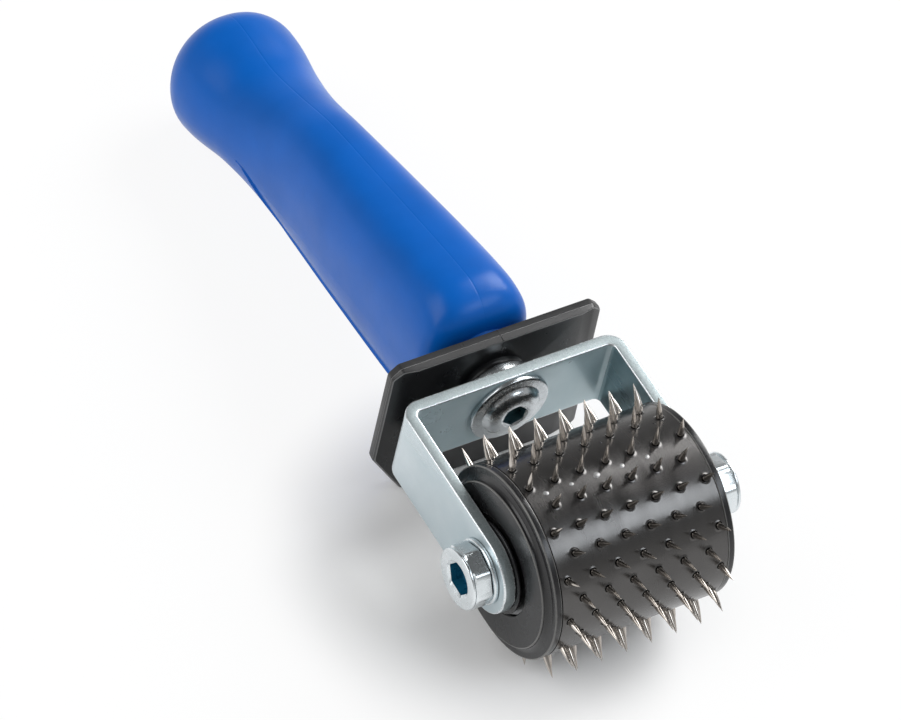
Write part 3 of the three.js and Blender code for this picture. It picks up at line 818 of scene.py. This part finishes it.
def make_yoke():
    shape = Shape()
    straight = ARM_INSIDE - BEND_INSIDE
    turn = BEND_INSIDE * math.pi / 2
    arm = WEB_FRONT - BEND_INSIDE
    half = BAR_WIDTH / 2
    lengths = [straight * i / WEB_STEPS for i in range(WEB_STEPS)]
    lengths += [straight + turn * i / BEND_STEPS for i in range(BEND_STEPS)]
    lengths += [straight + turn + arm * i / ARM_STEPS for i in range(ARM_STEPS)]
    sections = [(run, half - BAR_EDGE, half) for run in lengths]
    end = straight + turn + arm
    for i in range(END_STEPS + 1):
        angle = i / END_STEPS * math.pi / 2
        beyond = half * math.sin(angle)
        edge = half * math.cos(angle)
        face = math.sqrt(max(0.0, (half - BAR_EDGE) ** 2 - min(beyond, half - BAR_EDGE) ** 2))
        sections.append((end + beyond, face, max(edge, 0.02)))
    whole = [(-run, face, edge) for run, face, edge in reversed(sections[1:])] + sections
    rings = [bar_section(*section) for section in whole]
    count = len(rings[0])
    shape.rings(rings)
    # The eased edges take the pale zinc, a painted highlight.
    edge_paint = [YOKE_EDGE_HIGHLIGHT] * EDGE_COLUMNS + [YOKE_SHEARED] * 2 + [YOKE_EDGE_HIGHLIGHT] * EDGE_COLUMNS
    # The web's inner face takes the lighter inner zinc, which is painted light.
    face_paint = [YOKE_WEB_INSIDE_LIT] * FACE_COLUMNS + edge_paint
    face_paint += [YOKE_OUTSIDE] * FACE_COLUMNS + edge_paint
    # Where the inner face runs along the arms it takes the darker zinc instead, which is painted shade.
    for index in range(len(shape.faces)):
        paint = face_paint[index % count]
        on_arm = abs(whole[index // count][0]) > straight + turn / 2
        shape.paints[index] = YOKE_ARM_INSIDE_SHADED if paint == YOKE_WEB_INSIDE_LIT and on_arm else paint
    for ring in (rings[0], rings[-1]):
        centre = tuple(sum(p[k] for p in ring) / count for k in range(3))
        shape.lid(ring, centre, YOKE_SHEARED)
    plating = [ZINC_FACE, ZINC_SHEARED, ZINC_EDGE_HIGHLIGHT, ZINC_INSIDE_LIT, ZINC_ARM_INSIDE_SHADED]
    piece("yoke_bar", shape, "holder", plating, ["yoke"], sharp=38)


make_yoke()

# Fasteners

# Socket paints: the socket's walls and floor are painted shade, its rim a painted highlight.
HEAD_PAINT, SOCKET_SHADE_PAINT, SOCKET_RIM_HIGHLIGHT_PAINT = range(3)
SOCKET_PAINTS = (HEAD_PAINT, SOCKET_RIM_HIGHLIGHT_PAINT, SOCKET_SHADE_PAINT, SOCKET_SHADE_PAINT)


def make_bolt(side, word):
    shape = Shape()
    face_back = BOLT_SEAT + BOLT_HEAD
    face = face_back + BOLT_DISC
    turn = side * math.radians(5.5)
    socket_turn = turn + math.radians(7.5)

    def round_ring(h, radius, angle=turn):
        return circle_x(side * h, radius, ROUND_STEPS, angle)

    def head_ring(h, across_flats, corner):
        return polygon_x(side * h, across_flats, BOLT_SIDES, ROUND_STEPS, turn, corner)

    def socket_ring(h):
        return polygon_x(side * h, BOLT_SOCKET, SOCKET_SIDES, ROUND_STEPS, socket_turn)

    shape.rings([
        round_ring(BOLT_SEAT + 0.02, SHANK_RADIUS),
        head_ring(BOLT_SEAT + 0.02, BOLT_FLATS - 0.7, 0.3),
        head_ring(BOLT_SEAT + 0.3, BOLT_FLATS, 0.12),
        head_ring(face_back - 0.35, BOLT_FLATS, 0.12),
        head_ring(face_back + 0.02, BOLT_FLATS - 0.2, 0.5),
        round_ring(face_back + 0.08, 7.3),
    ])
    disc = rounded([
        (6.5, face_back),
        (BOLT_DISC_RADIUS, face_back + 0.02),
        (BOLT_DISC_RADIUS, face),
        (5.6, face),
    ], 0.4, 6)
    rings = [round_ring(h, radius) for radius, h in disc]
    shape.rings(rings)
    socket = [
        rings[-1],
        round_ring(face - 0.03, 4.95),
        socket_ring(face - 0.55),
        socket_ring(face - 3.6),
        round_ring(face - 4.6, 1.2, socket_turn),
    ]
    shape.rings(socket, SOCKET_PAINTS)
    shape.lid(socket[-1], (side * (face - 4.7), 0, 0), SOCKET_SHADE_PAINT)
    piece(
        f"axle_bolt_head_{word}", shape, "holder", [ZINC_BOLT, SOCKET_SHADE, ZINC_EDGE_HIGHLIGHT],
        [f"axle_bolt_{word}"], sharp=25)


def make_washer(side, word):
    shape = Shape()
    start = ARM_OUTSIDE + SEAT_GAP
    end = start + WASHER_THICKNESS
    outline = rounded([
        (CLEAR_BORE, start + 0.5),
        (CLEAR_BORE, start),
        (WASHER_RADIUS, start),
        (WASHER_RADIUS, end - 0.3),
        (WASHER_RADIUS - 0.25, end),
        (CLEAR_BORE, end),
        (CLEAR_BORE, start + 0.5),
    ], 0.14, 3)
    shape.rings([circle_x(side * h, radius, ROUND_STEPS) for radius, h in outline[:-1]], closed=True)
    piece(
        f"axle_washer_ring_{word}", shape, "holder", [ZINC_BOLT], [f"axle_washer_{word}"])


def make_spacer(side, word):
    shape = Shape()
    outer = ARM_INSIDE - SEAT_GAP
    flange = outer - SPACER_FLANGE_THICKNESS
    outline = rounded([
        (CLEAR_BORE, 27.0),
        (CLEAR_BORE, SPACER_START),
        (SPACER_RADIUS, SPACER_START),
        (SPACER_RADIUS, flange),
        (SPACER_FLANGE, flange),
        (SPACER_FLANGE, outer),
        (CLEAR_BORE, outer),
        (CLEAR_BORE, 27.0),
    ], 0.2, 3)
    shape.rings([circle_x(side * h, radius, ROUND_STEPS) for radius, h in outline[:-1]], closed=True)
    piece(f"spacer_ring_{word}", shape, "holder", [CAP_BLACK], [f"spacer_{word}"])


# Corners of the end cap's outline painted lighter as a painted highlight, counted from its first rounded
# corner
CAP_HIGHLIGHT_CORNERS = (3, 4, 8)
CAP_CORNER_STEPS = 4


def make_cap(side, word):
    shape = Shape()
    corners = [
        (CAP_HOLLOW, CAP_BEARING_SEAT),
        (CAP_HOLLOW, CAP_BACK),
        (CAP_SPIGOT, CAP_BACK),
        (CAP_SPIGOT, CAP_INNER),
        (SHELL_RADIUS, CAP_INNER),
        (SHELL_RADIUS, CAP_RIM),
        (22.9, CAP_RIM),
        (21.9, CAP_RIM + 0.45),
        (CAP_RAISED, CAP_RIM + 1.0),
        (CAP_RAISED, CAP_FACE),
        (CAP_BORE, CAP_FACE),
        (CAP_BORE, CAP_BEARING_SEAT),
        (CAP_HOLLOW, CAP_BEARING_SEAT),
    ]
    outline = rounded(corners, 0.32, CAP_CORNER_STEPS)
    paints = []
    for corner in range(len(corners) - 1):
        paints += [0] + [1 if corner in CAP_HIGHLIGHT_CORNERS else 0] * CAP_CORNER_STEPS
    rings = [circle_x(side * h, radius, 144) for radius, h in outline[:-1]]
    shape.rings(rings, paints[:len(rings)], closed=True)
    piece(
        f"end_cap_turned_{word}", shape, "roller", [CAP_BLACK, CAP_EDGE_HIGHLIGHT], [f"end_cap_{word}"],
        sharp=35)


for word, side in (("left", -1), ("right", 1)):
    make_bolt(side, word)
    make_washer(side, word)
    make_spacer(side, word)
    make_cap(side, word)


def make_screw():
    shape = Shape()
    seat = WEB_FRONT - SEAT_GAP
    outline = rounded([
        (SHANK_RADIUS, seat),
        (SCREW_FLANGE, seat),
        (SCREW_FLANGE, seat - 1.05),
        (SCREW_FLANGE - 0.5, seat - 1.3),
        (8.3, seat - 1.5),
        (7.8, seat - 2.0),
    ], 0.28, 4)
    dome_steps = 16
    for i in range(1, dome_steps + 1):
        angle = (0.15 + 0.85 * i / dome_steps) * math.pi / 2
        outline.append((4.1 + 3.7 * math.cos(angle), seat - 1.55 - 2.15 * math.sin(angle)))
    rings = [circle_y(y, radius) for radius, y in outline]
    shape.rings(rings)
    top = seat - SCREW_HEIGHT
    turn = math.radians(20)
    socket = [
        rings[-1],
        circle_y(top + 0.03, 3.75),
        polygon_y(top + 0.3, SCREW_SOCKET_FLATS, SOCKET_SIDES, turn),
        polygon_y(top + 2.5, SCREW_SOCKET_FLATS, SOCKET_SIDES, turn),
        circle_y(top + 2.8, 1.0),
    ]
    shape.rings(socket, SOCKET_PAINTS)
    shape.lid(socket[-1], (0, top + 2.9, 0), SOCKET_SHADE_PAINT)
    piece(
        "yoke_screw_head", shape, "holder", [POLISHED, SCREW_SOCKET_SHADE, ZINC_EDGE_HIGHLIGHT], ["yoke_screw"],
        sharp=28)


make_screw()

# Needle drum

NEEDLE_PITCH = 2 * (SHELL_END - NEEDLE_MARGIN) / (LONG_ROW - 1)
LIP_REACH = 1.75
LIP_RADIUS = 1.1
LIP_HEIGHT = 0.14
SEAT_DEPTH = 0.3
NEEDLE_RADIUS = 0.84
NEEDLE_TAPER = 1.8
NEEDLE_STAGES = 12
NEEDLE_SIDES = 20
CELL_STEPS = 6
SEAM_CELLS = 24
DROPS = 5
SKIN_PAINT, SEAT_SHADE_PAINT, SOLDER_PAINT = range(3)
LAST_ROW_SLIP = -1.0

# Degrees by which the first rows of the bent sheet are out of step
ROW_SLIPS = (-4.0, -2.0, 0.0, 1.0, 1.8, 1.9, 2.4, 2.0, 1.0)


def row_angle(row):
    """Even angle of a row of needles, from +Y towards +Z; the first and the last row lie beside the seam."""
    return ROLLER_TURN - math.pi / 2 - TILT + (row - LOWEST_ROW) * ROW_ANGLE


def needle_angle(row):
    """Angle at which the needles of a row stand."""
    slip = ROW_SLIPS[row] if row < len(ROW_SLIPS) else 0.0
    return row_angle(row) + math.radians(slip)


def row_edges(row):
    """Angles between which the drum belongs to a row."""
    low = row_angle(row) - ROW_ANGLE / 2
    if row == 0:
        low += math.radians(ROW_SLIPS[0])
    return low, row_angle(row) + ROW_ANGLE / 2


def needle_along(row, i):
    """Distance of a needle along the axle; all but one of the last row stand a little to the left."""
    count = LONG_ROW - row % 2
    slip = LAST_ROW_SLIP if row == NEEDLE_ROWS - 1 and i > 0 else 0.0
    return (i - (count - 1) / 2) * NEEDLE_PITCH + slip


def needle_places():
    """Distance along the axle and angle of each needle."""
    places = []
    for row in range(NEEDLE_ROWS):
        for i in range(LONG_ROW - row % 2):
            places.append((needle_along(row, i), needle_angle(row)))
    return places


def on_drum(x, angle, radius=SHELL_RADIUS):
    return (x, radius * math.cos(angle), radius * math.sin(angle))


def seat_cell(shape, low, high, x_centre, angle, edges):
    """Patch of drum skin between two places along the axle, with the sunk seat of one needle in it."""
    first = edges[0] - angle
    last = edges[1] - angle
    shares = [k / CELL_STEPS for k in range(CELL_STEPS)]
    border = [(low + (high - low) * share, first) for share in shares]
    border += [(high, first + (last - first) * share) for share in shares]
    border += [(high + (low - high) * share, last) for share in shares]
    border += [(low, last + (first - last) * share) for share in shares]
    headings = []
    for x, turn in border:
        headings.append(math.atan2(turn * SHELL_RADIUS, x - x_centre))
    rings = []
    for share in (0.0, 0.4, 0.75):
        ring = []
        for (x, turn), heading in zip(border, headings):
            near_x = x_centre + LIP_REACH * math.cos(heading)
            near_turn = LIP_REACH * math.sin(heading) / SHELL_RADIUS
            ring.append(on_drum(x + (near_x - x) * share, angle + turn + (near_turn - turn) * share))
        rings.append(ring)

    def seat_ring(radius, rise):
        ring = []
        for heading in headings:
            x = x_centre + radius * math.cos(heading)
            turn = radius * math.sin(heading) / SHELL_RADIUS
            ring.append(on_drum(x, angle + turn, SHELL_RADIUS + rise))
        return ring

    slope_rings = 8
    for k in range(slope_rings + 1):
        share = k / slope_rings
        radius = LIP_REACH + (LIP_RADIUS - LIP_REACH) * share
        rings.append(seat_ring(radius, LIP_HEIGHT * share * share))
    plain = len(rings)
    rings.append(seat_ring(LIP_RADIUS - 0.05, LIP_HEIGHT - 0.03))
    rings.append(seat_ring(LIP_RADIUS - 0.1, LIP_HEIGHT - 0.16))
    rings.append(seat_ring(LIP_RADIUS - 0.14, -SEAT_DEPTH))
    rings.append(seat_ring(0.6, -SEAT_DEPTH))
    # The seat's lip edge, wall and floor carry painted shade.
    shape.rings(rings, [SKIN_PAINT] * plain + [SEAT_SHADE_PAINT] * 3)


def plain_cell(shape, low, high, angle, half):
    """Patch of drum skin without a needle, reaching half an angle to either side."""
    angles = [angle + half * (2 * k / CELL_STEPS - 1) for k in range(CELL_STEPS + 1)]
    points = [on_drum(x, turn) for x in (low, high) for turn in angles]
    faces = []
    for k in range(CELL_STEPS):
        faces.append([k, k + 1, CELL_STEPS + 2 + k, CELL_STEPS + 1 + k])
    shape.add(points, faces)


def add_drop(shape, x, angle, radius, paint):
    """Flat drop on the drum beside the seam of the needle sheet."""
    sides = 14
    rings = []
    for share, rise in ((1.0, -0.02), (0.92, 0.06), (0.7, 0.13), (0.35, 0.17)):
        ring = []
        for k in range(sides):
            heading = k / sides * math.tau
            reach = radius * share * (1 + 0.1 * math.sin(2 * heading + x))
            turn = angle + reach * math.sin(heading) / SHELL_RADIUS
            ring.append(on_drum(x + reach * math.cos(heading), turn, SHELL_RADIUS + rise * radius))
        rings.append(ring)
    shape.rings(rings, paint)
    shape.lid(rings[-1], on_drum(x, angle, SHELL_RADIUS + 0.18 * radius), paint)


def make_drum():
    shape = Shape()
    for row in range(NEEDLE_ROWS):
        count = LONG_ROW - row % 2
        angle = row_angle(row)
        first = -(count - 1) / 2 * NEEDLE_PITCH
        for i in range(count):
            x = first + i * NEEDLE_PITCH
            low = x - NEEDLE_PITCH / 2
            high = x + NEEDLE_PITCH / 2
            if count == LONG_ROW:
                low = max(low, -SHELL_END)
                high = min(high, SHELL_END)
            seat_cell(shape, low, high, needle_along(row, i), needle_angle(row), row_edges(row))
        if count < LONG_ROW:
            plain_cell(shape, -SHELL_END, first - NEEDLE_PITCH / 2, angle, ROW_ANGLE / 2)
            plain_cell(shape, -first + NEEDLE_PITCH / 2, SHELL_END, angle, ROW_ANGLE / 2)
    seam_to = row_edges(0)[0]
    seam = (seam_to + math.tau - row_edges(NEEDLE_ROWS - 1)[1]) / 2
    middle = seam_to - seam
    for i in range(SEAM_CELLS):
        low = SHELL_END * (2 * i / SEAM_CELLS - 1)
        plain_cell(shape, low, low + 2 * SHELL_END / SEAM_CELLS, middle, seam)
    angles = []
    for row in range(NEEDLE_ROWS):
        low, high = row_edges(row)
        angles += [low + (high - low) * k / CELL_STEPS for k in range(CELL_STEPS)]
    angles += [middle + seam * (2 * k / CELL_STEPS - 1) for k in range(CELL_STEPS)]
    inside = []
    for x in (-SHELL_END, SHELL_END):
        outer = [on_drum(x, angle) for angle in angles]
        inner = [on_drum(x, angle, SHELL_RADIUS - SHELL_THICKNESS) for angle in angles]
        shape.rings([outer, inner])
        inside.append(inner)
    shape.rings(inside)
    for i in range(DROPS):
        solder_x = (i - 2.55) * NEEDLE_PITCH
        add_drop(shape, solder_x, row_angle(0) + 0.04, 0.7 + 0.16 * math.sin(4.1 * i), SOLDER_PAINT)
        # The dark drops by the last row are painted shade standing in for empty needle holes.
        pit_x = (i - 1.5) * NEEDLE_PITCH + 0.8 * math.sin(2.3 * i)
        add_drop(shape, pit_x, row_angle(NEEDLE_ROWS - 1) + 0.05, 0.36, SEAT_SHADE_PAINT)
    piece(
        "drum_skin", shape, "roller", [DRUM, SEAT_SHADE, SOLDER], ["needle_shell"],
        sharp=30, merge=0.002)


def make_needles():
    shape = Shape()
    length = TIP_RADIUS - SHELL_RADIUS
    stages = [(SHELL_RADIUS - 0.5, NEEDLE_RADIUS)]
    for k in range(NEEDLE_STAGES):
        share = k / NEEDLE_STAGES
        stages.append((SHELL_RADIUS + length * share, NEEDLE_RADIUS * (1 - share ** NEEDLE_TAPER)))
    stages.append((TIP_RADIUS - 0.1, 0.03))
    along = Vector((1, 0, 0))
    for x, angle in needle_places():
        out = Vector((0, math.cos(angle), math.sin(angle)))
        across = Vector((0, -math.sin(angle), math.cos(angle)))
        rings = []
        for reach, radius in stages:
            ring = []
            for k in range(NEEDLE_SIDES):
                heading = k / NEEDLE_SIDES * math.tau
                beside = along * (x + radius * math.cos(heading)) + across * radius * math.sin(heading)
                ring.append(tuple(beside + out * reach))
            rings.append(ring)
        shape.rings(rings)
        shape.lid(rings[-1], tuple(along * x + out * TIP_RADIUS))
    piece("needles", shape, "roller", [NEEDLE], sharp=60, merge=0.0001)


make_drum()
make_needles()

# Materials of the solids that stay

for name, material in (
    ("handle_insert", BRASS),
    ("axle_sleeve", BEARING_SHADED),
    ("needle_backing", BACKING),
    ("bearing_inner_left", BEARING_SHADED),
    ("bearing_inner_right", BEARING_SHADED),
    ("bearing_outer_left", BEARING_SHADED),
    ("bearing_outer_right", BEARING_SHADED),
    ("bearing_balls_left", BEARING_SHADED),
    ("bearing_balls_right", BEARING_SHADED),
):
    nodes[name].data.materials.clear()
    nodes[name].data.materials.append(material)

# Stage

# Where the floor keeps its real shadow: within the inner distance of this point it shows no glow, beyond the
# outer distance its painted-light glow is at full share.
SHADOW_MIDDLE = (-0.007, AXLE.y + 0.021, 0)
SHADOW_INNER = 0.028
SHADOW_OUTER = 0.068
FLOOR_GLOW = 0.9


def make_floor():
    """White paper; it glows white to camera and glossy rays, the glow fading in with distance from a point by
    the drum, so that painted light whitens the cast shadows away from the drum.
    """
    mesh = bpy.data.meshes.new("floor")
    reach = 6.0
    mesh.from_pydata(
        [(-reach, -reach, 0), (reach, -reach, 0), (reach, reach, 0), (-reach, reach, 0)], [], [(0, 1, 2, 3)])
    floor = bpy.data.objects.new("floor", mesh)
    bpy.context.scene.collection.objects.link(floor)
    material, tree, shader = start_material("floor_paper")
    shader.inputs["Base Color"].default_value = (0.97, 0.97, 0.97, 1)
    shader.inputs["Roughness"].default_value = 0.9
    shader.inputs["Specular IOR Level"].default_value = 0.1
    glow = node(tree, "ShaderNodeEmission", (0, -300), {"Color": (1, 1, 1, 1), "Strength": 1.0})
    mix = node(tree, "ShaderNodeMixShader", (300, 0))
    path = node(tree, "ShaderNodeLightPath", (-600, 300))
    direct = node(tree, "ShaderNodeMath", (-400, 300), operation="MAXIMUM")
    seen = node(tree, "ShaderNodeMath", (-200, 300), operation="MAXIMUM")
    share = node(tree, "ShaderNodeMath", (0, 300), operation="MULTIPLY")
    away = node(tree, "ShaderNodeVectorMath", (-400, 600), {1: SHADOW_MIDDLE}, operation="DISTANCE")
    limits = {"From Min": SHADOW_INNER, "From Max": SHADOW_OUTER, "To Min": 0.0, "To Max": FLOOR_GLOW}
    fading = node(tree, "ShaderNodeMapRange", (-200, 600), limits, interpolation_type="SMOOTHSTEP")
    tree.links.new(object_coords(tree), away.inputs[0])
    tree.links.new(away.outputs["Value"], fading.inputs["Value"])
    tree.links.new(fading.outputs["Result"], share.inputs[1])
    tree.links.new(path.outputs["Is Camera Ray"], direct.inputs[0])
    tree.links.new(path.outputs["Is Glossy Ray"], direct.inputs[1])
    tree.links.new(direct.outputs[0], seen.inputs[0])
    tree.links.new(path.outputs["Is Transmission Ray"], seen.inputs[1])
    tree.links.new(seen.outputs[0], share.inputs[0])
    tree.links.new(share.outputs[0], mix.inputs["Fac"])
    tree.links.new(shader.outputs["BSDF"], mix.inputs[1])
    tree.links.new(glow.outputs["Emission"], mix.inputs[2])
    tree.links.new(mix.outputs["Shader"], tree.nodes["Material Output"].inputs["Surface"])
    mesh.materials.append(material)


def make_world():
    """Dome of light, brighter towards the horizon."""
    world = bpy.data.worlds.new("studio")
    bpy.context.scene.world = world
    world.use_nodes = True
    tree = world.node_tree
    background = tree.nodes["Background"]
    coords = node(tree, "ShaderNodeTexCoord", (-1000, 0))
    split = node(tree, "ShaderNodeSeparateXYZ", (-800, 0))
    tree.links.new(coords.outputs["Generated"], split.inputs["Vector"])
    levels = ((0.0, 0.6), (0.25, 0.5), (0.5, 0.26), (0.75, 0.14), (1.0, 0.12))
    stops = [(height, grey(level)) for height, level in levels]
    dome = ramp(tree, split.outputs["Z"], stops, (-600, 0))
    tree.links.new(dome, background.inputs["Color"])
    background.inputs["Strength"].default_value = 1.0


def make_lamp(name, place, aim, size, watts, colour=(1, 1, 1)):
    data = bpy.data.lights.new(name, "AREA")
    data.shape = "RECTANGLE"
    data.size = size[0]
    data.size_y = size[1]
    data.energy = watts
    data.color = colour
    lamp = bpy.data.objects.new(name, data)
    lamp.location = place
    lamp.rotation_euler = (Vector(aim) - Vector(place)).to_track_quat("-Z", "Y").to_euler()
    bpy.context.scene.collection.objects.link(lamp)


def make_camera():
    """Camera fitted to the photograph, set in the tool's axes."""
    place = Vector((-617.7, -659.2, 1137.1))
    right = Vector((0.85989, -0.48642, 0.15485)).normalized()
    down = Vector((-0.29898, -0.72577, -0.61957)).normalized()
    back = right.cross(-down).normalized()
    turn = Matrix.Rotation(TILT, 3, "X") @ Matrix((right, -down, back)).transposed()
    data = bpy.data.cameras.new("camera")
    data.sensor_width = 36
    data.lens = 238.3
    data.clip_end = 50
    camera = bpy.data.objects.new("camera", data)
    camera.matrix_world = Matrix.Translation(TOOL @ place) @ turn.to_4x4()
    bpy.context.scene.collection.objects.link(camera)
    bpy.context.scene.camera = camera


make_floor()
make_world()
make_camera()
make_lamp(
    "band", place=(0.47, -0.66, 0.82), aim=(0, -0.08, 0.03), size=(0.5, 0.32), watts=2.4,
    colour=(0.88, 0.94, 1))
make_lamp("main", place=(0.9, 0.2, 0.85), aim=(0, -0.04, 0.03), size=(0.7, 0.7), watts=13.5)
make_lamp("left", place=(-0.95, 0.15, 0.85), aim=(0, 0, 0.03), size=(1.0, 1.0), watts=8.0)
bpy.context.scene.view_settings.view_transform = "Standard"
